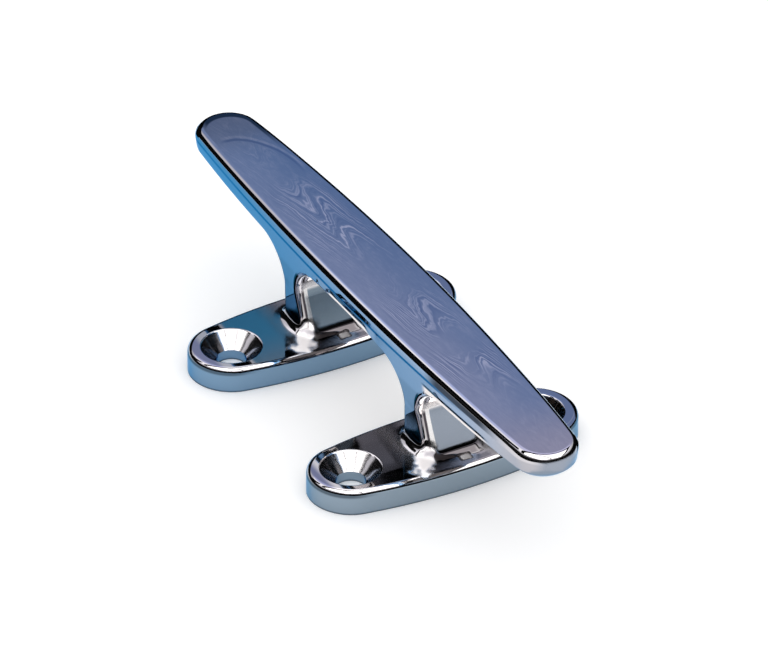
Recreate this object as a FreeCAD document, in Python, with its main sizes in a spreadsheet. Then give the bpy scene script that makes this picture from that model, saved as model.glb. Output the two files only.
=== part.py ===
import FreeCAD, Part
import math
import os
import Sketcher

# Boat cleat, one stainless casting: a long crowned bar with two horns on two legs,
# each leg on its own cross foot with two countersunk screw holes.
# X runs along the bar and Y along the feet, +Z is up, and the origin is on the deck
# plane in the middle of the four screw holes. Lengths are in millimetres.

doc = FreeCAD.newDocument("Cleat")
V = FreeCAD.Vector
QUARTER = math.pi / 2
NEAR = 0.01

# Driving dimensions. Depths are below the crown's highest point, angles are in degrees.
SIZES = [
    ("bar_length", 200.0),
    ("bar_mid_width", 26.7),
    ("bar_end_radius", 9.7),
    ("overall_height", 42.2),
    ("crown_drop", 1.25),
    ("parting_depth", 4.0),
    ("side_draft", 7.0),
    ("top_bevel", 1.8),
    ("top_bevel_radius", 1.5),
    ("under_bevel", 2.34),
    ("under_bevel_radius", 1.9),
    ("horn_root_depth", 10.9),
    ("horn_tip_rise", 1.5),
    ("horn_arc_radius", 9.0),
    ("arch_depth", 9.3),
    ("arch_crown", 1.2),
    ("arch_arc_radius", 9.5),
    ("leg_spacing", 69.6),
    ("leg_waist", 11.2),
    ("leg_flare", 11.0),
    ("leg_base_radius", 4.0),
    ("foot_length", 84.2),
    ("foot_mid_width", 30.6),
    ("foot_end_land", 3.9),
    ("foot_thickness", 7.5),
    ("foot_edge_radius", 1.9),
    ("hole_diameter", 8.6),
    ("countersink_diameter", 17.4),
    ("countersink_angle", 90.0),
    ("rim_bevel", 0.4),
]

sheet = doc.addObject("Spreadsheet::Sheet", "Sizes")
for row, (alias, value) in enumerate(SIZES, start=1):
    sheet.set("A%d" % row, alias)
    sheet.set("B%d" % row, str(value))
    sheet.setAlias("B%d" % row, alias)
doc.recompute()
S = dict(SIZES)


def cells(text):
    """Turn <size> into a reference to that size's cell."""
    return text.replace("<", "Sizes.").replace(">", "")


def bind(target, path, text):
    target.setExpression(path, cells(text))


def new_body(name):
    return doc.addObject("PartDesign::Body", name)


def new_sketch(body, name, role):
    """Sketch on one of the body's own origin planes."""
    plane = next(item for item in body.Origin.OriginFeatures if item.Role == role)
    sketch = body.newObject("Sketcher::SketchObject", name)
    sketch.AttachmentSupport = (plane, [""])
    sketch.MapMode = "FlatFace"
    return sketch


def relate(sketch, kind, *places):
    sketch.addConstraint(Sketcher.Constraint(kind, *places))


def dimension(sketch, kind, places, value, text):
    """Driving dimension that follows the sizes."""
    index = sketch.addConstraint(Sketcher.Constraint(kind, *places, value))
    bind(sketch, "Constraints[%d]" % index, text)


def arc(x, y, radius, start, end):
    """Arc about (x, y), counter-clockwise between two angles."""
    return Part.ArcOfCircle(Part.Circle(V(x, y, 0), V(0, 0, 1), radius), start, end)


def line(x1, y1, x2, y2):
    return Part.LineSegment(V(x1, y1, 0), V(x2, y2, 0))


def lens_outline(sketch, along, length, width, end, end_text):
    """Two long side arcs that run tangent into two round ends."""
    reach = S[length] / 2 - end
    side = (reach ** 2 + S[width] ** 2 / 4 - end ** 2) / (S[width] - 2 * end)
    offset = side - S[width] / 2
    turn = math.atan2(offset, reach)
    tilt = 0 if along == "X" else QUARTER
    arcs = [
        (reach, 0, end, -turn, turn),
        (0, -offset, side, turn, math.pi - turn),
        (-reach, 0, end, math.pi - turn, math.pi + turn),
        (0, offset, side, math.pi + turn, 2 * math.pi - turn),
    ]
    for x, y, radius, start, stop in arcs:
        if along == "Y":
            x, y = -y, x
        sketch.addGeometry(arc(x, y, radius, start + tilt, stop + tilt), False)
    for k in range(4):
        relate(sketch, "Tangent", k, 2, (k + 1) % 4, 1)
    axis = -1 if along == "X" else -2
    relate(sketch, "PointOnObject", 0, 3, axis)
    relate(sketch, "PointOnObject", 2, 3, axis)
    relate(sketch, "Equal", 0, 2)
    relate(sketch, "Equal", 1, 3)
    half_text = "(<%s> / 2 - %s)" % (length, end_text)
    side_text = "(%s ^ 2 + <%s> ^ 2 / 4 - %s ^ 2)" % (half_text, width, end_text)
    side_text += " / (<%s> - 2 * %s)" % (width, end_text)
    dimension(sketch, "Radius", (0,), end, end_text)
    dimension(sketch, "Radius", (1,), side, side_text)
    dimension(sketch, "Distance" + along, (-1, 1, 0, 3), reach, half_text)
    dimension(sketch, "Distance" + along, (2, 3, -1, 1), reach, half_text)


def pad(body, name, sketch):
    feature = body.newObject("PartDesign::Pad", name)
    feature.Profile = sketch
    return feature


def dress(kind, path, body, name, test, size):
    """Fillet or chamfer the edges of the body's last feature that pass the test."""
    doc.recompute()
    base = body.Tip
    names = ["Edge%d" % k for k, edge in enumerate(base.Shape.Edges, 1) if test(base.Shape, edge)]
    if not names:
        raise SystemExit("%s: no edges found" % name)
    feature = body.newObject(kind, name)
    feature.Base = (base, names)
    bind(feature, path, "<%s>" % size)
    doc.recompute()


def round_edges(*places):
    dress("PartDesign::Fillet", "Radius", *places)


def bevel_edges(*places):
    dress("PartDesign::Chamfer", "Size", *places)


def near(a, b):
    return abs(a - b) < NEAR


def level(edge, height):
    return near(edge.BoundBox.ZMin, height) and near(edge.BoundBox.ZMax, height)


# Bar and legs from above: upright over the parting line, drafted inwards below it.
plan_view = new_body("PlanView")
for name in ("UprightSide", "DraftedSide"):
    outline = new_sketch(plan_view, name + "Plan", "XY_Plane")
    lens_outline(outline, "X", "bar_length", "bar_mid_width", S["bar_end_radius"], "<bar_end_radius>")
    bind(outline, "AttachmentOffset.Base.z", "<overall_height> - <parting_depth>")
    block = pad(plan_view, name, outline)
    if name == "UprightSide":
        bind(block, "Length", "2 * <parting_depth>")
    else:
        block.Reversed = True
        bind(block, "Length", "<overall_height> - <parting_depth> - <foot_thickness> / 2")
        bind(block, "TaperAngle", "0 - <side_draft>")
    doc.recompute()

# Bar and legs from the side: crowned top, horn undersides, the arcs that run into the
# legs, and a three-centred arch between the legs. The legs end inside the feet.
side_view = new_body("SideView")
profile = new_sketch(side_view, "SideProfile", "XZ_Plane")
half_bar = S["bar_length"] / 2
half_waist = S["leg_waist"] / 2
flare = math.radians(S["leg_flare"])
root_z = S["foot_thickness"] / 2
out_r = S["horn_arc_radius"]
out_x = S["leg_spacing"] / 2 + half_waist + out_r
horn_root = S["overall_height"] - S["horn_root_depth"]
out_z = horn_root - out_r
in_r = S["arch_arc_radius"]
in_x = S["leg_spacing"] / 2 - half_waist - in_r
arch_top = S["overall_height"] - S["arch_depth"]
arch_rise = in_r + S["arch_crown"]
in_z = arch_top - arch_rise
arch_r = (in_x ** 2 + arch_rise ** 2 - in_r ** 2) / (2 * S["arch_crown"])
arch_turn = math.atan2(in_x, arch_r - arch_rise)
tip_rise = S["horn_tip_rise"]
horn_r = ((half_bar - out_x) ** 2 + tip_rise ** 2) / (2 * tip_rise)
horn_z = horn_root + horn_r
end_x = half_bar + S["bar_end_radius"]
horn_turn = math.asin((end_x - out_x) / horn_r)
crown_r = (half_bar ** 2 + S["crown_drop"] ** 2) / (2 * S["crown_drop"])
crown_z = S["overall_height"] - crown_r
crown_turn = math.asin(end_x / crown_r)

OUT_X = "(<leg_spacing> / 2 + <leg_waist> / 2 + <horn_arc_radius>)"
OUT_Z = "<overall_height> - <horn_root_depth> - <horn_arc_radius>"
IN_X = "(<leg_spacing> / 2 - <leg_waist> / 2 - <arch_arc_radius>)"
IN_Z = "<overall_height> - <arch_depth> - <arch_crown> - <arch_arc_radius>"
ARCH_RISE = "(<arch_crown> + <arch_arc_radius>)"
ARCH_R = "(%s ^ 2 + %s ^ 2 - <arch_arc_radius> ^ 2) / (2 * <arch_crown>)" % (IN_X, ARCH_RISE)
HORN_R = "((<bar_length> / 2 - %s) ^ 2 + <horn_tip_rise> ^ 2) / (2 * <horn_tip_rise>)" % OUT_X
CROWN_R = "((<bar_length> / 2) ^ 2 + <crown_drop> ^ 2) / (2 * <crown_drop>)"
END_X = "<bar_length> / 2 + <bar_end_radius>"

place = {}


def draw(name, shape):
    place[name] = profile.addGeometry(shape, False)


def leg_face(side, centre_x, centre_z, radius, away):
    """Straight flared leg face, from its root up to the arc that it runs into."""
    top_x = centre_x + away * radius * math.cos(flare)
    top_z = centre_z - radius * math.sin(flare)
    root_x = top_x - away * (root_z - top_z) * -math.tan(flare)
    return line(side * root_x, root_z, side * top_x, top_z)


draw("crown", arc(0, crown_z, crown_r, QUARTER - crown_turn, QUARTER + crown_turn))
draw("arch", arc(0, arch_top - arch_r, arch_r, QUARTER - arch_turn, QUARTER + arch_turn))
for tag, s in (("R", 1), ("L", -1)):
    mirror = (lambda a, b: (a, b)) if s > 0 else (lambda a, b: (math.pi - b, math.pi - a))
    draw("end" + tag, line(s * end_x, horn_z - horn_r * math.cos(horn_turn), s * end_x,
                           crown_z + crown_r * math.cos(crown_turn)))
    draw("horn" + tag, arc(s * out_x, horn_z, horn_r, *mirror(-QUARTER, horn_turn - QUARTER)))
    draw("out" + tag, arc(s * out_x, out_z, out_r, *mirror(QUARTER, math.pi + flare)))
    draw("outface" + tag, leg_face(s, out_x, out_z, out_r, -1))
    draw("inface" + tag, leg_face(s, in_x, in_z, in_r, 1))
    draw("in" + tag, arc(s * in_x, in_z, in_r, *mirror(-flare, QUARTER - arch_turn)))
    outer = profile.Geometry[place["outface" + tag]].StartPoint
    inner = profile.Geometry[place["inface" + tag]].StartPoint
    draw("root" + tag, line(outer.x, root_z, inner.x, root_z))
    # An arc's start and end swap places on the mirrored side.
    first, last = (1, 2) if s > 0 else (2, 1)
    relate(profile, "Coincident", place["end" + tag], 2, place["crown"], first)
    relate(profile, "Coincident", place["end" + tag], 1, place["horn" + tag], last)
    relate(profile, "Tangent", place["horn" + tag], first, place["out" + tag], first)
    relate(profile, "Tangent", place["out" + tag], last, place["outface" + tag], 2)
    relate(profile, "Coincident", place["outface" + tag], 1, place["root" + tag], 1)
    relate(profile, "Coincident", place["inface" + tag], 1, place["root" + tag], 2)
    relate(profile, "Tangent", place["in" + tag], first, place["inface" + tag], 2)
    relate(profile, "Tangent", place["in" + tag], last, place["arch"], first)
    relate(profile, "Vertical", place["end" + tag])
    relate(profile, "Horizontal", place["root" + tag])
    relate(profile, "Vertical", place["out" + tag], 3, place["horn" + tag], 3)

    def across(name, point, value, text):
        """Distance from the middle to a point on this side."""
        spot = (place[name], point)
        ends = (-1, 1) + spot if s > 0 else spot + (-1, 1)
        dimension(profile, "DistanceX", ends, value, text)

    across("end" + tag, 2, end_x, END_X)
    across("out" + tag, 3, out_x, OUT_X)
    across("in" + tag, 3, in_x, IN_X)
    dimension(profile, "DistanceY", (-1, 1, place["out" + tag], 3), out_z, OUT_Z)
    dimension(profile, "DistanceY", (-1, 1, place["in" + tag], 3), in_z, IN_Z)
    dimension(profile, "DistanceY", (-1, 1, place["root" + tag], 1), root_z, "<foot_thickness> / 2")
    dimension(profile, "Radius", (place["out" + tag],), out_r, "<horn_arc_radius>")
    dimension(profile, "Radius", (place["horn" + tag],), horn_r, HORN_R)
    dimension(profile, "Angle", (place["outface" + tag],), QUARTER + s * flare, "90 + %d * <leg_flare>" % s)
    dimension(profile, "Angle", (place["inface" + tag],), QUARTER - s * flare, "90 - %d * <leg_flare>" % s)
relate(profile, "PointOnObject", place["crown"], 3, -2)
relate(profile, "PointOnObject", place["arch"], 3, -2)
dimension(profile, "Radius", (place["crown"],), crown_r, CROWN_R)
dimension(profile, "DistanceY", (place["crown"], 3, -1, 1), -crown_z, CROWN_R + " - <overall_height>")
dimension(profile, "Radius", (place["arch"],), arch_r, ARCH_R)
dimension(profile, "Radius", (place["inR"],), in_r, "<arch_arc_radius>")
slab = pad(side_view, "SideSlab", profile)
slab.Midplane = True
bind(slab, "Length", "2 * <bar_mid_width>")
doc.recompute()

# The bar with its legs is what the two views share.
shared = doc.addObject("Part::MultiCommon", "SharedByBothViews")
shared.Shapes = [plan_view, side_view]
doc.recompute()
bar = new_body("BarAndLegs")
bar.BaseFeature = shared


def from_side_view(face):
    """True for a face that runs straight across the bar."""
    surface = face.Surface
    if isinstance(surface, Part.Plane):
        return near(surface.Axis.y, 0)
    return isinstance(surface, Part.Cylinder) and near(abs(surface.Axis.y), 1)


def under_edge(shape, edge):
    """Lower edge of the bar and corner of a leg, above the leg's root."""
    if edge.BoundBox.ZMax > parting - NEAR or level(edge, root_z):
        return False
    faces = shape.ancestorsOfType(edge, Part.Face)
    return len([face for face in faces if from_side_view(face)]) == 1


def under_border(shape, edge):
    """Long border of an under bevel, the only faces that come from neither view."""
    faces = shape.ancestorsOfType(edge, Part.Face)
    cut = [face for face in faces if not isinstance(face.Surface, (Part.Plane, Part.Cylinder, Part.Cone))]
    return len(cut) == 1 and not level(edge, root_z)


def top_edge(shape, edge):
    """Long edge wholly above the parting line."""
    return edge.BoundBox.ZMin > parting + NEAR and edge.Length > 2 * S["top_bevel"]


# Its edges are bevelled all round, and the borders of the bevels are rounded.
parting = S["overall_height"] - S["parting_depth"]
bevel_edges(bar, "UnderBevel", under_edge, "under_bevel")
round_edges(bar, "UnderBorders", under_border, "under_bevel_radius")
bevel_edges(bar, "TopBevel", top_edge, "top_bevel")
round_edges(bar, "TopBorders", top_edge, "top_bevel_radius")

# A foot is a lens-shaped plate across the bar with its upper edge rounded. Its round ends
# leave a land round each countersink. The other foot is its mirror image.
foot = new_body("Foot")
foot_plan = new_sketch(foot, "FootPlan", "XY_Plane")
foot_end = S["countersink_diameter"] / 2 + S["foot_end_land"]
FOOT_END = "(<countersink_diameter> / 2 + <foot_end_land>)"
lens_outline(foot_plan, "Y", "foot_length", "foot_mid_width", foot_end, FOOT_END)
bind(foot_plan, "AttachmentOffset.Base.x", "<leg_spacing> / 2")
plate = pad(foot, "FootPlate", foot_plan)
bind(plate, "Length", "<foot_thickness>")
round_edges(foot, "FootEdge", lambda shape, edge: level(edge, S["foot_thickness"]), "foot_edge_radius")
other_foot = doc.addObject("Part::Mirroring", "OtherFoot")
other_foot.Source = foot
other_foot.Normal = V(1, 0, 0)
doc.recompute()

# The casting: bar, legs and feet in one, with a fillet swept round the base of each leg.
joined = doc.addObject("Part::MultiFuse", "Joined")
joined.Shapes = [bar, foot, other_foot]
doc.recompute()
cleat = new_body("Cleat")
cleat.Label = "cleat_body"
cleat.BaseFeature = joined


def leg_base(shape, edge):
    """Line in which a leg meets the top of its foot, well inside the foot's outline."""
    inside = edge.BoundBox.YMax < S["bar_mid_width"] / 2 and edge.BoundBox.YMin > -S["bar_mid_width"] / 2
    return inside and level(edge, S["foot_thickness"])


round_edges(cleat, "LegBases", leg_base, "leg_base_radius")

# Four countersunk screw holes, one about the centre of each foot's round ends.
pattern = new_sketch(cleat, "HolePattern", "XY_Plane")
bind(pattern, "AttachmentOffset.Base.z", "<foot_thickness>")
for k, (sx, sy) in enumerate([(1, 1), (-1, 1), (-1, -1), (1, -1)]):
    x = S["leg_spacing"] / 2
    y = S["foot_length"] / 2 - foot_end
    pattern.addGeometry(Part.Circle(V(sx * x, sy * y, 0), V(0, 0, 1), S["hole_diameter"] / 2), False)
    if k:
        relate(pattern, "Equal", 0, k)
    ends = (-1, 1, k, 3) if sx > 0 else (k, 3, -1, 1)
    dimension(pattern, "DistanceX", ends, x, "<leg_spacing> / 2")
    ends = (-1, 1, k, 3) if sy > 0 else (k, 3, -1, 1)
    dimension(pattern, "DistanceY", ends, y, "<foot_length> / 2 - " + FOOT_END)
dimension(pattern, "Diameter", (0,), S["hole_diameter"], "<hole_diameter>")
holes = cleat.newObject("PartDesign::Hole", "ScrewHoles")
holes.Profile = pattern
holes.ThreadType = "None"
holes.DepthType = "ThroughAll"
holes.HoleCutType = "Countersink"
holes.HoleCutCustomValues = True
bind(holes, "Diameter", "<hole_diameter>")
bind(holes, "HoleCutDiameter", "<countersink_diameter>")
bind(holes, "HoleCutCountersinkAngle", "<countersink_angle>")


def rim(shape, edge):
    """Upper rim of a countersink."""
    if not isinstance(edge.Curve, Part.Circle) or not level(edge, S["foot_thickness"]):
        return False
    return near(edge.Curve.Radius, S["countersink_diameter"] / 2)


bevel_edges(cleat, "HoleRims", rim, "rim_bevel")

for sketch in doc.findObjects("Sketcher::SketchObject"):
    if not sketch.FullyConstrained:
        raise SystemExit("%s is not fully constrained" % sketch.Name)
for item in doc.Objects:
    if "Invalid" in item.State or "Error" in item.State:
        raise SystemExit("%s failed" % item.Name)
for body in (plan_view, side_view, bar, foot, cleat):
    if body.Shape.isNull() or not body.Shape.isValid() or len(body.Shape.Solids) != 1:
        raise SystemExit("%s is not one valid solid" % body.Name)
if cleat.Shape.Volume >= joined.Shape.Volume:
    raise SystemExit("the screw holes cut nothing")

os.makedirs("parts", exist_ok=True)
cleat.Shape.exportStep("parts/%s.step" % cleat.Label)
box = cleat.Shape.optimalBoundingBox()
print("%s %.1f x %.1f x %.1f mm" % (cleat.Label, box.XLength, box.YLength, box.ZLength))
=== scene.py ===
import math

import bpy
import numpy as np
from mathutils import Matrix, Vector


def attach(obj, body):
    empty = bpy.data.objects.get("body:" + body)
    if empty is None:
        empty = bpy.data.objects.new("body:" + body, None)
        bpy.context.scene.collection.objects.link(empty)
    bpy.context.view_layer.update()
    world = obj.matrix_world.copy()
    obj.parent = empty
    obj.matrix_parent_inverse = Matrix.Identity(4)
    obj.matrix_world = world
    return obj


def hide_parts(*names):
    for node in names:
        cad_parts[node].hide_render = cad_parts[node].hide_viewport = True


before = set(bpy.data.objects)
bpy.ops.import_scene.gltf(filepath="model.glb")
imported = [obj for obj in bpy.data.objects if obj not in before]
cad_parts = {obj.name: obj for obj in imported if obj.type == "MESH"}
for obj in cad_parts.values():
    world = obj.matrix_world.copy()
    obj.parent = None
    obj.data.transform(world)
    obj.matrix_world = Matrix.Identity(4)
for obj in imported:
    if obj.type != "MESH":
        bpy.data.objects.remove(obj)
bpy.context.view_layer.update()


# ---------------------------------------------------------------- measures
# Places on the casting, in metres. Far is -X, near is +X, front is -Y and back is +Y.
LEG_X = 0.0348
LEG_BASE_X = 0.0080
LEG_BASE_Y = 0.0097
HOLE_Y = 0.0295
CONE_RADIUS = 0.0084
FOOT_TOP = 0.0075
PARTING_LINE = 0.0382
HALF_WIDTH = 0.0133
DRAFT_SLOPE = math.sin(math.radians(7.0))
CONE_SLOPE = math.cos(math.radians(45.0))


# ---------------------------------------------------------------- shader maths
class Value:
    """One socket of a node tree. Operators on values add Math nodes."""

    def __init__(self, tree, socket):
        self.tree = tree
        self.socket = socket

    def maths(self, operation, *others):
        numbers = [self] + list(others)
        return self.tree.add("ShaderNodeMath", {"operation": operation}, dict(enumerate(numbers)))

    def __add__(self, other):
        return self.maths("ADD", other)

    def __sub__(self, other):
        return self.maths("SUBTRACT", other)

    def __mul__(self, other):
        return self.maths("MULTIPLY", other)

    def __truediv__(self, other):
        return self.maths("DIVIDE", other)

    def __abs__(self):
        return self.maths("ABSOLUTE")

    def __neg__(self):
        return 0.0 - self

    __radd__ = __add__
    __rmul__ = __mul__

    def __rsub__(self, other):
        return self.tree.add("ShaderNodeMath", {"operation": "SUBTRACT"}, {0: other, 1: self})

    def __rtruediv__(self, other):
        return self.tree.add("ShaderNodeMath", {"operation": "DIVIDE"}, {0: other, 1: self})

    def sign(self):
        return self.maths("SIGN")

    def at_least(self, other):
        return self.maths("MAXIMUM", other)

    def at_most(self, other):
        return self.maths("MINIMUM", other)

    def out(self, name):
        """Another output of the same node."""
        return Value(self.tree, self.socket.node.outputs[name])


class Tree:
    """A material's or the world's nodes."""

    def __init__(self, owner):
        owner.use_nodes = True
        self.nodes = owner.node_tree.nodes
        self.links = owner.node_tree.links
        self.nodes.clear()

    def add(self, kind, settings=None, sockets=None, output=0):
        node = self.nodes.new(kind)
        for name, value in (settings or {}).items():
            if name == "stops":
                ramp = node.color_ramp
                while len(ramp.elements) < len(value):
                    ramp.elements.new(1.0)
                for element, (position, colour) in zip(ramp.elements, value):
                    element.position = position
                    element.color = (*colour, 1.0)
            else:
                setattr(node, name, value)
        for name, value in (sockets or {}).items():
            if isinstance(value, Value):
                self.links.new(value.socket, node.inputs[name])
            else:
                node.inputs[name].default_value = value
        return Value(self, node.outputs[output]) if node.outputs else node

    def rise(self, value, low, high):
        """0 below low, 1 above high, smooth between."""
        settings = {"interpolation_type": "SMOOTHSTEP"}
        return self.add("ShaderNodeMapRange", settings, {0: value, 1: low, 2: high})

    def fall(self, value, low, high):
        """1 below low, 0 above high, smooth between."""
        return 1.0 - self.rise(value, low, high)

    def mix(self, factor, first, second):
        """A colour that goes from the first to the second."""
        settings = {"data_type": "RGBA"}
        return self.add("ShaderNodeMix", settings, {0: factor, 6: first, 7: second}, output=2)

    def turn_to(self, factor, first, second):
        """A direction that goes from the first to the second."""
        settings = {"data_type": "VECTOR"}
        return self.add("ShaderNodeMix", settings, {0: factor, 4: first, 5: second}, output=1)

    def distance(self, first, second):
        """How far off a point is whose two offsets are given."""
        return (first * first + second * second).maths("SQRT")

    def noise(self, place, scale, detail, roughness, distortion=0.0):
        sockets = {"Vector": place, "Scale": scale, "Detail": detail, "Roughness": roughness}
        return self.add("ShaderNodeTexNoise", {}, {**sockets, "Distortion": distortion})

    def ripple(self, value):
        """Noise along one value."""
        sockets = {"W": value, "Scale": 1.0, "Detail": 2.5, "Roughness": 0.62}
        return self.add("ShaderNodeTexNoise", {"noise_dimensions": "1D"}, sockets)


# ---------------------------------------------------------------- steel
# Colours of the steel by place, linear. Most are painted reflections and shade: tints of what the surroundings
# showed in the real casting, dark bands, highlights and shade. The edge colours are the plain steel.
EDGE_FAR = (0.56, 0.53, 0.54, 1.0)
EDGE_NEAR = (0.54, 0.52, 0.52, 1.0)
TOP_FRONT_FAR = (0.160, 0.210, 0.355, 1.0)
TOP_FRONT_NEAR = (0.240, 0.265, 0.400, 1.0)
TOP_BACK_FAR = (0.105, 0.160, 0.305, 1.0)
TOP_BACK_NEAR = (0.165, 0.212, 0.360, 1.0)
TOP_END = (0.295, 0.285, 0.385, 1.0)
TOP_TIP = (0.175, 0.218, 0.355, 1.0)
TIP_DARK_REFLECTION = (0.025, 0.035, 0.075, 1.0)
TOP_SWIRL_LIGHT_REFLECTION = (0.46, 0.47, 0.62, 1.0)
TOP_SWIRL_DARK_REFLECTION = (0.060, 0.095, 0.230, 1.0)
FOOT_TOP_FAR = (0.32, 0.34, 0.38, 1.0)
FOOT_TOP_NEAR = (0.85, 0.80, 0.78, 1.0)
FOOT_BESIDE_LEG_SHADE = (0.24, 0.22, 0.24, 1.0)
FOOT_END = (0.20, 0.21, 0.32, 1.0)
FOOT_BACK = (0.135, 0.172, 0.300, 1.0)
FOOT_SHADE_LINE = (0.04, 0.06, 0.08, 1.0)
BACK_CONE_DARK_REFLECTION = (0.045, 0.035, 0.030, 1.0)
UNDER_FAR = (0.06, 0.24, 0.40, 1.0)
UNDER_NEAR = (0.26, 0.24, 0.24, 1.0)
UNDER_EDGE_HIGHLIGHT = (0.85, 0.80, 0.78, 1.0)
UNDER_TIP_SHADE = (0.26, 0.30, 0.36, 1.0)
LAND_DARK_REFLECTION = (0.05, 0.06, 0.08, 1.0)
LAND_TIP_HIGHLIGHT = (0.62, 0.60, 0.62, 1.0)
LEG_ARC_HIGHLIGHT = (0.90, 0.87, 0.86, 1.0)
LEG_BASE_SHADE = (0.10, 0.09, 0.095, 1.0)
LEG_CORNER = (0.44, 0.42, 0.42, 1.0)
LEG_CREASE_SHADE = (0.16, 0.15, 0.17, 1.0)
LEG_FOOT_DARK_REFLECTION = (0.02, 0.035, 0.06, 1.0)
BAR_WALL_FAR = (0.065, 0.215, 0.395, 1.0)
BAR_WALL_NEAR = (0.33, 0.42, 0.56, 1.0)
BAR_END = (0.46, 0.45, 0.48, 1.0)
PARTING_SHADE = (0.010, 0.10, 0.26, 1.0)
LEG_FAR = (0.22, 0.30, 0.36, 1.0)
LEG_NEAR = (0.31, 0.34, 0.40, 1.0)
FOOT_WALL_FAR = (0.145, 0.285, 0.450, 1.0)
FOOT_WALL_NEAR = (0.275, 0.330, 0.378, 1.0)

# Painted reflections on the leg's upright corners from its wide face to its narrow side: bright highlights,
# with dark bands.
CORNER_REFLECTION_STRIPES = [
    (0.00, (0.90, 0.88, 0.87)),
    (0.27, (0.90, 0.88, 0.87)),
    (0.31, (0.07, 0.06, 0.07)),
    (0.42, (0.07, 0.06, 0.07)),
    (0.47, (0.50, 0.47, 0.47)),
    (0.60, (0.62, 0.59, 0.60)),
    (0.79, (0.34, 0.31, 0.33)),
    (0.86, (0.01, 0.01, 0.01)),
    (1.00, (0.01, 0.01, 0.01)),
]

# How strongly the painted swirl reflections, the feet's painted shade lines and the painted crease shade show.
SWIRL_REFLECTION_STRENGTH = 0.62
FOOT_SHADE_LINE_STRENGTH = 0.75
CREASE_SHADE_STRENGTH = 0.75
EDGE_TINT = (0.45, 0.70, 0.95, 1.0)

# Roughness everywhere, and what is added to it on some places.
POLISH = 0.04
LEG_SIDE_DULLNESS = 0.22
HIGHLIGHT_LINE_DULLNESS = 0.20
BESIDE_LEG_DULLNESS = 0.18
CONE_DULLNESS = 0.10

# How far the shading leans on the smoothed walls, the legs' arcs and the back feet's rims.
WALL_LEAN = 0.6
LEG_ARC_LEAN = 0.8
BACK_RIM_LEAN = 0.9

# The swirls: where they turn across the bar, how they slant, double back and waver, and how strongly their
# painted light and dark reflections stand out.
SWIRL_MIDDLE = 0.0013
SWIRL_SLANT = 2.84
SWIRL_WAVES = 450.0
SWIRL_REACH = 0.0134
DRAWS_PER_METRE = 170.0
SWIRL_WAVER = 4.5
SWIRL_DRIFT = 3.0
LIGHT_STEP = 0.22
PAINTED_RELIEF_CONTRAST = 7.0


class Places:
    """Where each point of the steel lies and which way it faces, with masks for the casting's parts."""

    def __init__(self, tree):
        self.place = tree.add("ShaderNodeTexCoord", output="Object")
        self.normal = self.place.out("Normal")
        self.x = tree.add("ShaderNodeSeparateXYZ", {}, {0: self.place})
        self.y = self.x.out("Y")
        self.height = self.x.out("Z")
        facing = tree.add("ShaderNodeSeparateXYZ", {}, {0: self.normal})
        self.facing_up = facing.out("Z")
        self.facing_down = -self.facing_up
        self.facing_side = abs(facing.out("Y"))
        self.slope = abs(self.facing_up)

        # Distances from the bar's middle line, from the middle of the nearest leg and from the nearest hole.
        self.width_out = abs(self.y)
        self.past_leg = abs(self.x) - LEG_X
        self.from_leg = abs(self.past_leg)
        self.ahead_of_leg = self.x.sign() * self.past_leg
        self.to_hole = tree.distance(self.past_leg, self.width_out - HOLE_Y)

        # How far a leg's corner has turned from the wide face (0) to the narrow side (1).
        self.turn = self.facing_side / (self.facing_side + abs(facing) + 0.0001)

        self.near = tree.rise(self.x, -0.09, 0.09)
        self.far = 1.0 - self.near
        self.up = tree.rise(self.facing_up, 0.90, 0.985)
        self.wall = tree.fall(self.slope, 0.25, 0.60)
        self.sideways = tree.rise(self.facing_side, 0.45, 0.80)
        self.on_foot = tree.fall(self.height, 0.0078, 0.0100)
        self.above_foot = 1.0 - self.on_foot
        self.below_bar = tree.fall(self.height, 0.029, 0.031)
        self.on_leg = tree.fall(self.from_leg, 0.0115, 0.0130) * self.above_foot * self.below_bar
        self.bar_side = self.wall * self.sideways * self.above_foot
        self.leg_side = self.wall * (1.0 - self.sideways) * self.above_foot
        self.cone = tree.rise(self.slope, 0.62, 0.68) * tree.fall(self.slope, 0.74, 0.80)
        self.cone = self.cone * tree.fall(self.height, 0.0070, 0.0074) * tree.fall(self.to_hole, 0.0088, 0.0092)


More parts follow.
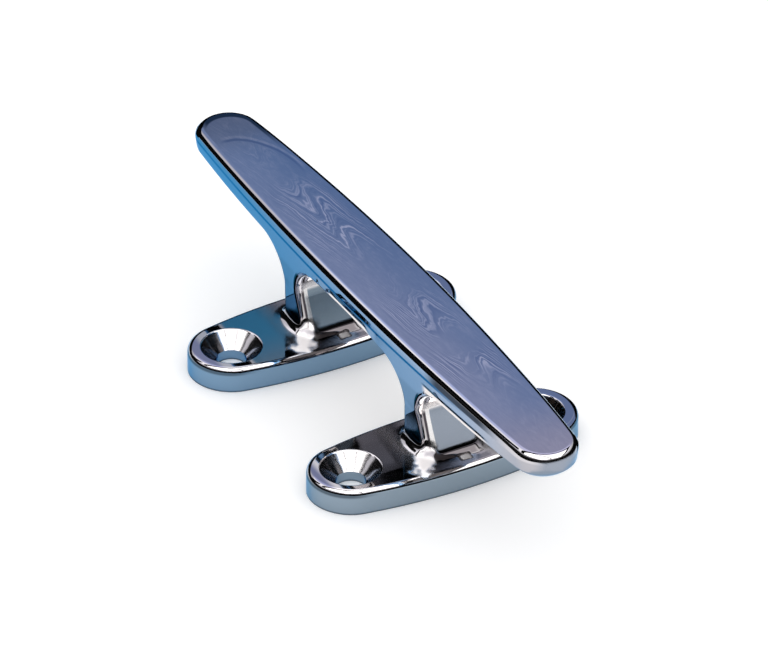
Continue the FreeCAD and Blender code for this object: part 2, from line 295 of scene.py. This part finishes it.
def painted_swirl_reflections(tree, at):
    """Painted light and dark reflections of swirls in the bar's top, from -1 (dark) to 1 (light)."""
    drawn_out = tree.add("ShaderNodeMapping", {}, {"Vector": at.place, "Scale": (0.30, 1.0, 1.0)})
    waver = tree.noise(drawn_out, 170.0, 3.0, 0.55, distortion=0.4)
    grain = tree.noise(drawn_out, 900.0, 2.0, 0.5)
    drift = tree.noise(at.place, 38.0, 1.0, 0.4)

    # Swirls, painted as light and dark reflections: draws that run along the edges and double back between
    # them, mostly in two lanes.
    across = at.y - SWIRL_MIDDLE
    doubled = at.x - across * SWIRL_SLANT + (across * SWIRL_WAVES).maths("SINE") * SWIRL_REACH
    draw = doubled * DRAWS_PER_METRE + waver * SWIRL_WAVER + drift * SWIRL_DRIFT
    painted_relief = (tree.ripple(draw + LIGHT_STEP) - tree.ripple(draw)) * PAINTED_RELIEF_CONTRAST
    far_lane = tree.fall(abs(at.x + 0.034), 0.004, 0.026)
    near_lane = tree.fall(abs(at.x - 0.040), 0.012, 0.034)
    lane = (far_lane + near_lane) * 0.86 + 0.14
    lane = lane * tree.fall(at.width_out, 0.0060, 0.0100) * tree.rise(drift, 0.28, 0.46)
    lane = lane * (1.0 - 0.7 * tree.rise(at.x, 0.052, 0.068))

    # One long mark that bends across the far end, painted as a dark reflection with a light edge.
    from_mark = tree.distance((at.x + 0.062) / 0.0215, (at.y + 0.005) / 0.0122) + (waver - 0.5) * 0.06
    dark_mark_reflection = tree.fall(abs(from_mark - 1.0), 0.010, 0.045)
    light_mark_reflection = tree.fall(abs(from_mark - 1.08), 0.015, 0.050)
    marked = tree.fall(at.x, -0.068, -0.056) * tree.rise(at.y, -0.0070, -0.0030)
    mark = (light_mark_reflection * 0.30 - dark_mark_reflection * 1.40) * marked

    lines = painted_relief * lane + mark + (grain - 0.5) * 0.55 + (waver - 0.5) * 0.45
    return lines.at_most(1.0).at_least(-1.0)


def top_colours(tree, at):
    """Painted reflection colours of the bar's top and of the feet's tops, with painted shade beside the legs.
    """
    # The bar's top: painted reflection tints, lighter at the front and towards the near end, with the painted
    # swirl reflections over them.
    front = tree.mix(at.near, TOP_FRONT_FAR, TOP_FRONT_NEAR)
    back = tree.mix(at.near, TOP_BACK_FAR, TOP_BACK_NEAR)
    bar = tree.mix(tree.rise(at.y, -0.0095, 0.0095), front, back)
    bar = tree.mix(tree.rise(at.x, 0.070, 0.098), bar, TOP_END)
    bar = tree.mix(tree.fall(at.x, -0.094, -0.070), bar, TOP_TIP)
    lines = painted_swirl_reflections(tree, at)
    bar = tree.mix(lines.at_least(0.0) * SWIRL_REFLECTION_STRENGTH, bar, TOP_SWIRL_LIGHT_REFLECTION)
    bar = tree.mix((-lines).at_least(0.0) * SWIRL_REFLECTION_STRENGTH, bar, TOP_SWIRL_DARK_REFLECTION)

    # The feet's tops: painted reflection tints, darker at the back feet, with painted shade beside the legs.
    foot = tree.mix(at.near, FOOT_TOP_FAR, FOOT_TOP_NEAR)
    foot = tree.mix(tree.rise(at.width_out - at.near * 0.0030, 0.0348, 0.0372), foot, FOOT_END)
    foot = tree.mix(tree.rise(at.y, 0.026, 0.033), foot, FOOT_BACK)
    foot = tree.mix(tree.fall(at.width_out, 0.0090, 0.0130), foot, FOOT_BESIDE_LEG_SHADE)
    return tree.mix(at.on_foot, bar, foot)


def wall_colours(tree, at):
    """Painted reflection colours of the bar's, the legs' and the feet's upright walls, with painted highlights,
    dark reflections and shade.
    """
    # The walls: painted reflection tints, bluer and darker towards the far end.
    bar = tree.mix(at.near, BAR_WALL_FAR, BAR_WALL_NEAR)
    bar = tree.mix(tree.rise(at.x, 0.060, 0.096), bar, BAR_END)
    above_parting = tree.rise(at.height, PARTING_LINE, 0.0388)
    # Above the parting line near the horn: a painted dark reflection band, then a painted highlight towards the
    # tip.
    land_dark_band = tree.rise(at.x, 0.044, 0.052) * tree.fall(at.x, 0.072, 0.084)
    bar = tree.mix(land_dark_band * above_parting, bar, LAND_DARK_REFLECTION)
    bar = tree.mix(tree.rise(at.x, 0.080, 0.092) * above_parting, bar, LAND_TIP_HIGHLIGHT)

    upper = tree.mix(at.sideways, tree.mix(at.near, LEG_FAR, LEG_NEAR), bar)
    # A painted shade line along the parting crease.
    parting_shade = tree.fall(abs(at.height - PARTING_LINE), 0.00020, 0.00075) * tree.fall(at.x, 0.045, 0.070)
    upper = tree.mix(parting_shade * at.sideways, upper, PARTING_SHADE)
    # Painted reflections on the legs' upright corners.
    stripes = tree.add("ShaderNodeValToRGB", {"stops": CORNER_REFLECTION_STRIPES}, {0: at.turn})
    on_corner = tree.rise(at.turn, 0.02, 0.06) * tree.fall(at.turn, 0.93, 0.985) * at.on_leg
    upper = tree.mix(on_corner, upper, stripes)

    # A leg's narrow side is painted with a dark reflection from the foot up to a height that rises towards its
    # corner.
    to_corner = (LEG_BASE_X + 0.0005 - at.ahead_of_leg).at_least(0.0010)
    dark_reflection_height = 0.0090 + 0.000040 / to_corner
    dark = tree.fall(at.height - dark_reflection_height, -0.0010, 0.0008) * tree.rise(at.turn, 0.90, 0.96)
    upper = tree.mix(dark * at.on_leg, upper, LEG_FOOT_DARK_REFLECTION)

    # The feet's walls: painted reflection tints. Painted dark lines on them: a dark reflection under the rims
    # towards the feet's ends, and a contact shadow along the bottom.
    foot = tree.mix(at.near, FOOT_WALL_FAR, FOOT_WALL_NEAR)
    under_rim = tree.rise(at.height, 0.0052, 0.0059) * tree.fall(at.height, 0.0066, 0.0072)
    line = under_rim * tree.rise(at.width_out, 0.026, 0.036) + tree.fall(at.height, 0.00015, 0.00070)
    foot = tree.mix(line * FOOT_SHADE_LINE_STRENGTH, foot, FOOT_SHADE_LINE)
    return tree.mix(at.on_foot, upper, foot)


def leg_base_blend(tree, at):
    """Masks for the soft blend from each leg's near corners into its foot, with a glint, and for a painted dark
    line of shade across it.
    """
    dent = tree.noise(at.place, 300.0, 1.0, 0.5) - 0.5
    past_face = at.from_leg - LEG_BASE_X
    past_side = at.width_out - LEG_BASE_Y
    outward = (past_face + past_side) * 0.5 + dent * 0.0030
    astray = abs(past_face - past_side) * 0.5 + dent * 0.0040
    blend = tree.fall(astray, 0.0004, 0.0032) * tree.rise(outward, -0.0030, -0.0006)
    blend = blend * tree.fall(outward, 0.0028, 0.0056)
    blend = blend * tree.rise(at.height, 0.0062, 0.0072) * tree.fall(at.height, 0.0110, 0.0145)
    glint = tree.fall(abs(past_face - 0.0030 + dent * 0.0020), 0.0008, 0.0018)
    glint = glint * tree.fall(abs(at.y - 0.0012), 0.0010, 0.0024)
    glint = glint * tree.rise(at.height, 0.0070, 0.0073) * tree.fall(at.height, 0.0140, 0.0160)
    near_face = at.ahead_of_leg.sign() * 0.5 + 0.5
    crease_shade = tree.fall(abs(at.height - 0.0094 + dent * 0.0020), 0.0002, 0.0012)
    return blend.at_least(glint) * near_face, crease_shade


def reflection_lines_under_bar(tree, at):
    """Masks for the low part of the bar's wall beyond each leg, and for a painted highlight line and a painted
    dark reflection line in it.
    """
    in_arch = tree.rise(at.x, -0.0110, -0.0060) * tree.fall(at.x, 0.0120, 0.0160)
    under_horn = tree.rise(at.x, 0.0428, 0.0458) * tree.fall(at.x, 0.0730, 0.0790)
    beyond_leg = (in_arch + under_horn) * tree.rise(at.height, 0.0290, 0.0310)
    beyond_leg = beyond_leg * tree.rise(at.facing_side, 0.12, 0.25)
    over_bright = at.height - 0.0349 - at.far * 0.0004 - in_arch * 0.0012
    over_dark = over_bright - 0.0008 - at.far * 0.0004 - in_arch * 0.0003
    bright = beyond_leg * tree.fall(over_bright, -0.0002, 0.0002)
    dark = beyond_leg * tree.fall(over_dark, -0.0002, 0.0003) - bright
    return beyond_leg, bright, dark


def tip_dark_reflection_band(tree, at):
    """Mask for the painted dark reflection band round the far end of the bar's top."""
    past_centre = at.x + 0.0885
    from_centre = tree.distance(past_centre.at_most(0.0), at.y + 0.0005) - past_centre.at_least(0.0) * 0.075
    band = tree.fall(at.x, -0.086, -0.070) * tree.rise(from_centre, 0.0067, 0.0073)
    return band * tree.rise(at.y, -0.0072, -0.0045) * tree.rise(at.height, 0.0386, 0.0392)


def smoothed_walls(tree, at):
    """Mask for the bar's front walls that mirror the open floor alone."""
    horn = tree.rise(at.x, 0.044, 0.056) * tree.fall(at.x, 0.084, 0.096)
    arch = tree.rise(at.x, -0.0160, -0.0130) * tree.fall(at.x, 0.0150, 0.0200)
    arch = arch * tree.fall(at.height, 0.0378, 0.0384)
    return horn.at_least(arch) * at.bar_side


def polished_steel():
    """Mirror-polished steel with painted reflections, highlights and shade, coloured by place on the casting as
    its surroundings coloured the real one.
    """
    material = bpy.data.materials.new("polished_steel")
    tree = Tree(material)
    at = Places(tree)
    blend, crease_shade = leg_base_blend(tree, at)
    beyond_leg, highlight_line, dark_reflection_line = reflection_lines_under_bar(tree, at)

    # Masks for painted shade round each leg's base, a painted reflection tint on the back feet's rims, painted
    # shade under the near tip and a painted highlight on the legs' arcs.
    leg_base_shade = tree.rise(at.height, 0.00755, 0.0078) * tree.fall(at.height, 0.0125, 0.0140)
    leg_base_shade = leg_base_shade * tree.rise(at.facing_up, 0.15, 0.40) * tree.fall(at.width_out, 0.0075, 0.0095)
    back_rim = at.on_foot * tree.rise(at.y, 0.0140, 0.0200) * tree.rise(at.facing_up, 0.50, 0.62)
    back_rim = back_rim * tree.rise(at.to_hole, 0.0094, 0.0098)
    under_tip_shade = tree.rise(at.facing_down, 0.16, 0.34) * tree.rise(at.x, 0.060, 0.080) * (1.0 - beyond_leg)
    leg_arc = tree.rise(at.facing_down, 0.03, 0.22) * tree.fall(at.facing_down, 0.70, 0.90)
    leg_arc = leg_arc * tree.rise(at.height, 0.0200, 0.0225) * (1.0 - at.sideways)
    leg_arc = leg_arc * tree.fall(at.from_leg, 0.0130, 0.0150)

    # Painted reflection tints of the undersides, bluer at the far end.
    under = tree.mix(tree.rise(at.x, -0.070, -0.035), UNDER_FAR, UNDER_NEAR)
    colour = tree.mix(at.near, EDGE_FAR, EDGE_NEAR)
    # Over the edges' plain steel, one after another: painted reflection tints, painted shade round the leg
    # bases, a painted dark reflection round the far tip and in the back countersinks, a painted tint on the
    # back feet's rims, painted dark reflection and highlight lines under the bar, painted shade under the near
    # tip, a painted highlight on the legs' arcs, and painted shade in the leg blends.
    for mask, paint in (
        (at.up, top_colours(tree, at)),
        (leg_base_shade, LEG_BASE_SHADE),
        (tree.rise(at.facing_down, 0.60, 0.90), under),
        (tip_dark_reflection_band(tree, at), TIP_DARK_REFLECTION),
        (at.cone * tree.rise(at.y, 0.0150, 0.0180), BACK_CONE_DARK_REFLECTION),
        (back_rim * (1.0 - at.up), FOOT_BACK),
        (at.wall, wall_colours(tree, at)),
        (dark_reflection_line, LAND_DARK_REFLECTION),
        (highlight_line, UNDER_EDGE_HIGHLIGHT),
        (under_tip_shade, UNDER_TIP_SHADE),
        (leg_arc, LEG_ARC_HIGHLIGHT),
        (blend, tree.mix(crease_shade * CREASE_SHADE_STRENGTH, LEG_CORNER, LEG_CREASE_SHADE)),
    ):
        colour = tree.mix(mask, colour, paint)

    # Where the real casting is softer than a plain rounding, its surface is shaded as if it leaned: to the
    # open floor in front, to the lamp, or level.
    to_floor = tree.add("ShaderNodeCombineXYZ", {}, {"X": 0.45, "Y": at.y.sign() * 0.89, "Z": 0.0})
    to_lamp = tree.add("ShaderNodeCombineXYZ", {}, {
        "X": at.ahead_of_leg.sign() * 0.42,
        "Y": (at.y - 0.0050).sign() * 0.42,
        "Z": 0.80,
    })
    level = (0.0, 0.0, 1.0)
    smoothed = smoothed_walls(tree, at) * WALL_LEAN * (1.0 - dark_reflection_line)
    aside = highlight_line.at_least(smoothed).at_least(leg_arc * LEG_ARC_LEAN)
    leaning = tree.turn_to(aside, at.normal, to_floor)
    leaning = tree.turn_to(blend, leaning, to_lamp)
    leaning = tree.turn_to(back_rim * BACK_RIM_LEAN, leaning, level)
    leaning = tree.add("ShaderNodeVectorMath", {"operation": "NORMALIZE"}, {0: leaning})

    beside_leg = at.on_foot * at.up * tree.fall(at.width_out, 0.0130, 0.0180)
    beside_leg = beside_leg * tree.fall(at.from_leg, 0.0120, 0.0170)
    dullness = LEG_SIDE_DULLNESS * at.leg_side.at_least(blend) + HIGHLIGHT_LINE_DULLNESS * highlight_line
    dullness = dullness + BESIDE_LEG_DULLNESS * beside_leg + CONE_DULLNESS * at.cone
    shader = tree.add("ShaderNodeBsdfPrincipled", {}, {
        "Base Color": colour,
        "Metallic": 1.0,
        "Roughness": POLISH + dullness,
        "Specular Tint": EDGE_TINT,
        "Normal": leaning,
    })
    tree.add("ShaderNodeOutputMaterial", {}, {"Surface": shader})
    return material


# ---------------------------------------------------------------- casting
LEVEL = 0.9990
SLACK = 0.02
DRAFT_SLACK = 0.006
LEAST_SIDEWAYS = 0.2
LEAST_LENGTH = 1e-20
LEAST_SHAPE = 0.01
LEAST_WEIGHT = 1e-6
MOST_ROUNDS = 700
SMALL_ENOUGH = 1e-14
MERGE_DISTANCE = 1e-6


def plain_surfaces(normals, centres):
    """For each face, the number of the plain surface it lies on, or 0 on a rounded edge."""
    sideways, slope = np.abs(normals[:, 1]), np.abs(normals[:, 2])
    height = centres[:, 2]
    to_hole = np.hypot(np.abs(centres[:, 0]) - LEG_X, np.abs(centres[:, 1]) - HOLE_Y)
    bar_or_leg = (height > FOOT_TOP) & (height < PARTING_LINE) & (np.abs(centres[:, 1]) < HALF_WIDTH)
    drafted = np.abs(normals[:, 2] + DRAFT_SLOPE) < DRAFT_SLACK
    tests = [
        normals[:, 2] > LEVEL,
        normals[:, 2] < -LEVEL,
        (slope < SLACK) & ((height > PARTING_LINE) | (height < FOOT_TOP)),
        drafted & (height < PARTING_LINE) & (sideways > LEAST_SIDEWAYS),
        bar_or_leg & (sideways < SLACK),
        (np.abs(slope - CONE_SLOPE) < SLACK) & (to_hole < CONE_RADIUS),
    ]
    return np.select(tests, range(1, len(tests) + 1), 0)


def unit(vectors):
    return vectors / np.maximum(np.linalg.norm(vectors, axis=1, keepdims=True), LEAST_LENGTH)


def mesh_arrays(mesh):
    """The mesh's points, and each face's corners, normal and area."""
    points = np.empty(len(mesh.vertices) * 3)
    mesh.vertices.foreach_get("co", points)
    corners = np.empty(len(mesh.polygons) * 3, dtype=int)
    mesh.polygons.foreach_get("vertices", corners)
    normals = np.empty(len(mesh.polygons) * 3)
    mesh.polygons.foreach_get("normal", normals)
    areas = np.empty(len(mesh.polygons))
    mesh.polygons.foreach_get("area", areas)
    return points.reshape(-1, 3), corners.reshape(-1, 3), normals.reshape(-1, 3), areas


def evenly_spread(values, held, points, corners):
    """Values that stay as they are at the held points and change evenly over the skin between them."""
    sides = [points[corners[:, (k + 2) % 3]] - points[corners[:, (k + 1) % 3]] for k in range(3)]
    twice_area = np.linalg.norm(np.cross(sides[0], sides[1]), axis=1)
    longest = np.max([np.sum(side * side, axis=1) for side in sides], axis=0)
    twice_area = np.maximum(twice_area, LEAST_SHAPE * longest)
    first = np.concatenate([corners[:, (k + 1) % 3] for k in range(3)])
    second = np.concatenate([corners[:, (k + 2) % 3] for k in range(3)])
    pull = np.concatenate([
        -np.sum(sides[(k + 1) % 3] * sides[(k + 2) % 3], axis=1) / twice_area for k in range(3)
    ])
    weight = np.bincount(first, pull, len(points)) + np.bincount(second, pull, len(points))
    weight = np.maximum(weight, LEAST_WEIGHT)

    def uneven(field):
        flow = pull * (field[first] - field[second])
        result = np.bincount(first, flow, len(points)) - np.bincount(second, flow, len(points))
        return np.where(held, 0.0, result)

    spread = values.copy()
    for axis in range(3):
        field = spread[:, axis]
        rest = -uneven(field)
        step = rest / weight
        size = rest @ step
        move = step.copy()
        for _ in range(MOST_ROUNDS):
            if size < SMALL_ENOUGH:
                break
            pushed = uneven(move)
            share = size / (move @ pushed)
            field = field + share * move
            rest = rest - share * pushed
            step = rest / weight
            new_size = rest @ step
            move = step + new_size / size * move
            size = new_size
        spread[:, axis] = field
    return spread


def turned_normals(mesh):
    """Corner normals that are true on the plain surfaces and turn evenly over each rounded edge."""
    points, corners, normals, areas = mesh_arrays(mesh)

    def gathered(faces):
        """Sum at each point of the area-weighted normals of the faces round it."""
        sums = np.zeros_like(points)
        for corner in range(3):
            np.add.at(sums, corners[faces, corner], normals[faces] * areas[faces, None])
        return sums

    surface = plain_surfaces(normals, points[corners].mean(axis=1))
    plain_sum = gathered(surface > 0)
    held = np.linalg.norm(plain_sum, axis=1) > 0.0
    start = np.where(held[:, None], unit(plain_sum), unit(gathered(surface == 0)))
    turned = unit(evenly_spread(start, held, points, corners))
    result = turned[corners]
    for number in range(1, surface.max() + 1):
        faces = surface == number
        result[faces] = unit(gathered(faces))[corners[faces]]
    return result.reshape(-1, 3)


def polished_casting(blank, material):
    """The casting with one closed skin, whose plain surfaces stay true and whose edges turn smoothly."""
    casting = blank.copy()
    casting.data = blank.data.copy()
    casting.name = "polished_casting"
    bpy.context.collection.objects.link(casting)
    casting.parent = None
    for key in list(casting.keys()):
        del casting[key]
    bpy.ops.object.select_all(action="DESELECT")
    casting.select_set(True)
    bpy.context.view_layer.objects.active = casting
    bpy.ops.mesh.customdata_custom_splitnormals_clear()
    bpy.ops.object.mode_set(mode="EDIT")
    bpy.ops.mesh.select_all(action="SELECT")
    bpy.ops.mesh.remove_doubles(threshold=MERGE_DISTANCE)
    bpy.ops.object.mode_set(mode="OBJECT")
    bpy.ops.object.shade_smooth()
    casting.data.normals_split_custom_set(turned_normals(casting.data))
    casting.data.materials.clear()
    casting.data.materials.append(material)
    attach(casting, "root")
    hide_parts("cleat_body")
    return casting


bpy.ops.object.select_all(action="DESELECT")
polished_casting(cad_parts["cleat_body"], polished_steel())


# ---------------------------------------------------------------- studio
FLOOR_SIZE = 8.0
FLOOR_DROP = 0.00005
FLOOR_PAINT = (0.97, 0.97, 0.97, 1.0)
FLOOR_GLOW = 0.12
WORLD_STRENGTH = 2.0

# The world over the steel, by the height that a ray goes up: a dark room, then a ceiling that gets brighter.
CEILING = [
    (0.0, (0.01, 0.01, 0.01)),
    (0.49, (0.01, 0.01, 0.01)),
    (0.515, (0.42, 0.42, 0.45)),
    (0.60, (0.42, 0.42, 0.45)),
    (0.64, (0.50, 0.50, 0.54)),
    (0.68, (0.80, 0.80, 0.84)),
    (1.0, (0.80, 0.80, 0.84)),
]

LAMP_PLACE = (0.40, 1.0)
LAMP_WIDTH = 1.4
LAMP_RADIANCE = 3.0
LAMP_STRIPS = (("front_strip", -1.0, -0.65), ("middle_strip", -0.59, 0.0), ("back_strip", 0.06, 0.75))

FACING_DOWN = (0.0, 0.0, 0.0)
FACING_FRONT = (math.radians(90.0), 0.0, 0.0)
FACING_END = (math.radians(90.0), 0.0, math.radians(90.0))

# Each black card's name, place, size and turn.
CARDS = (
    ("front_card", (0.0, -0.15, 0.03), (0.6, 0.06), FACING_FRONT),
    ("back_card", (0.0, 0.15, 0.05), (0.6, 0.10), FACING_FRONT),
    ("back_low_card", (-0.06, 0.060, 0.0165), (0.28, 0.033), FACING_FRONT),
    ("far_low_card", (-0.130, 0.010, 0.0310), (0.08, 0.012), FACING_END),
    ("end_card", (-0.30, 0.0, 0.08), (0.3, 0.16), FACING_END),
    ("end_card", (0.30, 0.0, 0.08), (0.3, 0.16), FACING_END),
    ("left_wall", (-1.0, -0.735, 0.75), (0.63, 1.5), FACING_END),
    ("left_low_wall", (-1.0, -1.5, 0.22), (0.9, 0.44), FACING_END),
    ("softbox_frame", (0.40, -0.12, 1.02), (1.8, 2.15), FACING_DOWN),
)


def black_paint():
    material = bpy.data.materials.new("black_card")
    tree = Tree(material)
    paint = tree.add("ShaderNodeBsdfDiffuse", {}, {"Color": (0.004, 0.004, 0.004, 1.0)})
    tree.add("ShaderNodeOutputMaterial", {}, {"Surface": paint})
    return material


def studio_floor():
    """White floor that keeps the object's shadow, a little brighter to the camera and in mirrors."""
    bpy.ops.mesh.primitive_plane_add(size=FLOOR_SIZE, location=(0.0, 0.0, -FLOOR_DROP))
    floor = bpy.context.object
    floor.name = "studio_floor"
    material = bpy.data.materials.new("white_floor")
    tree = Tree(material)
    path = tree.add("ShaderNodeLightPath")
    seen = tree.rise(path + path.out("Is Glossy Ray") + path.out("Is Transmission Ray"), 0.0, 1.0)
    paint = tree.add("ShaderNodeBsdfDiffuse", {}, {"Color": FLOOR_PAINT})
    glow = tree.add("ShaderNodeEmission", {}, {"Color": (1.0, 1.0, 1.0, 1.0), "Strength": FLOOR_GLOW * seen})
    both = tree.add("ShaderNodeAddShader", {}, {0: paint, 1: glow})
    tree.add("ShaderNodeOutputMaterial", {}, {"Surface": both})
    floor.data.materials.append(material)


def studio_world():
    """White to the camera, an even grey to the floor, and a pale ceiling over a dark room to the steel."""
    world = bpy.data.worlds.new("studio")
    bpy.context.scene.world = world
    tree = Tree(world)
    direction = tree.add("ShaderNodeTexCoord")
    parts = tree.add("ShaderNodeSeparateXYZ", {}, {0: direction})
    ceiling = tree.add("ShaderNodeValToRGB", {"stops": CEILING}, {0: parts.out("Z")})
    path = tree.add("ShaderNodeLightPath")
    colour = tree.mix(path.out("Is Diffuse Ray"), ceiling, (0.52, 0.52, 0.52, 1.0))
    colour = tree.mix(path, colour, (0.5, 0.5, 0.5, 1.0))
    background = tree.add("ShaderNodeBackground", {}, {"Color": colour, "Strength": WORLD_STRENGTH})
    tree.add("ShaderNodeOutputWorld", {}, {"Surface": background})


def softbox(name, low, high):
    """Lamp panel over the front, middle or back, that hangs level and faces down."""
    data = bpy.data.lights.new(name, "AREA")
    data.shape = "RECTANGLE"
    data.size = LAMP_WIDTH
    data.size_y = high - low
    data.energy = LAMP_RADIANCE * math.pi * LAMP_WIDTH * (high - low)
    lamp = bpy.data.objects.new(name, data)
    bpy.context.collection.objects.link(lamp)
    lamp.location = (LAMP_PLACE[0], (low + high) / 2, LAMP_PLACE[1])
    lamp.visible_diffuse = False


def black_card(name, material, place, size, turn):
    """Black card that darkens a part of what the steel mirrors, and is seen in the steel only."""
    bpy.ops.mesh.primitive_plane_add(size=1.0, location=place, rotation=turn)
    card = bpy.context.object
    card.name = name
    card.scale = (size[0], size[1], 1.0)
    card.data.materials.append(material)
    card.visible_camera = False
    card.visible_diffuse = False
    card.visible_transmission = False
    card.visible_volume_scatter = False
    card.visible_shadow = False


studio_floor()
studio_world()
black = black_paint()
for name, spot, size, turn in CARDS:
    black_card(name, black, spot, size, turn)
for name, low, high in LAMP_STRIPS:
    softbox(name, low, high)


# ---------------------------------------------------------------- camera
AZIMUTH = math.radians(60.4)
ELEVATION = math.radians(33.741)
ROLL = math.radians(0.49)
DISTANCE = 2.987
FOCAL_WIDTHS = 13.788
SENSOR_WIDTH = 36.0
TARGET = Vector((0.0, 0.0, 0.020))
TARGET_RIGHT = 0.000456
TARGET_UP = 0.004532

level_back = Vector((math.sin(AZIMUTH), -math.cos(AZIMUTH), 0.0))
back = math.cos(ELEVATION) * level_back + math.sin(ELEVATION) * Vector((0.0, 0.0, 1.0))
level_right = Vector((math.cos(AZIMUTH), math.sin(AZIMUTH), 0.0))
level_up = back.cross(level_right)
right = math.cos(ROLL) * level_right + math.sin(ROLL) * level_up
up = math.cos(ROLL) * level_up - math.sin(ROLL) * level_right
place = TARGET + DISTANCE * back + TARGET_RIGHT * right + TARGET_UP * up

camera_data = bpy.data.cameras.new("camera")
camera_data.sensor_fit = "HORIZONTAL"
camera_data.sensor_width = SENSOR_WIDTH
camera_data.lens = SENSOR_WIDTH * FOCAL_WIDTHS
camera_data.clip_end = 50.0
camera = bpy.data.objects.new("camera", camera_data)
bpy.context.collection.objects.link(camera)
camera.matrix_world = Matrix((
    (right.x, up.x, back.x, place.x),
    (right.y, up.y, back.y, place.y),
    (right.z, up.z, back.z, place.z),
    (0.0, 0.0, 0.0, 1.0),
))
bpy.context.scene.camera = camera
bpy.context.scene.view_settings.view_transform = "Standard"
